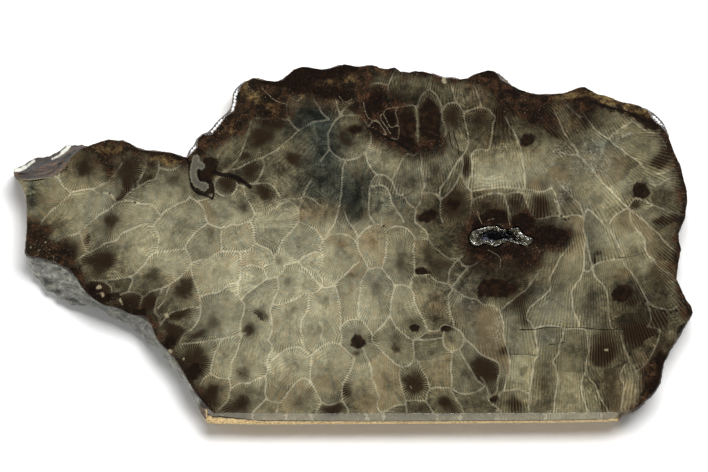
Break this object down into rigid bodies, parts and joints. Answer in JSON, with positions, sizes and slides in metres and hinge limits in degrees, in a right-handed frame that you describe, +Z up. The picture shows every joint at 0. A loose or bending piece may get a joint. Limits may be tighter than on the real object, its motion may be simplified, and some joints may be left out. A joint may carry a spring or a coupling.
{
  "type": "petoskey stone slab",
  "caption": "Flat polished slab of fossil colony coral with a natural broken rim, one straight sawn edge and a small crystal-lined hollow; rests on its sawn back.",
  "frame": {"origin": "on the ground at the middle of the bounding box, under the slab", "axes": "+Z up out of the polished face, +X from the narrow lobe towards the wide end with the hollow, -Y towards the straight sawn edge"},
  "size_m": [0.18, 0.0956, 0.015],
  "materials": {
    "stone": "polished fossil limestone: tan and olive corallites with cream walls, dark brown stains, matt grey rind on the broken sides",
    "crystal": "clear to pale grey calcite crystals"
  },
  "bodies": {
    "root": {"slab": "stone", "vug_crystals": "crystal"}
  },
  "joints": []
}
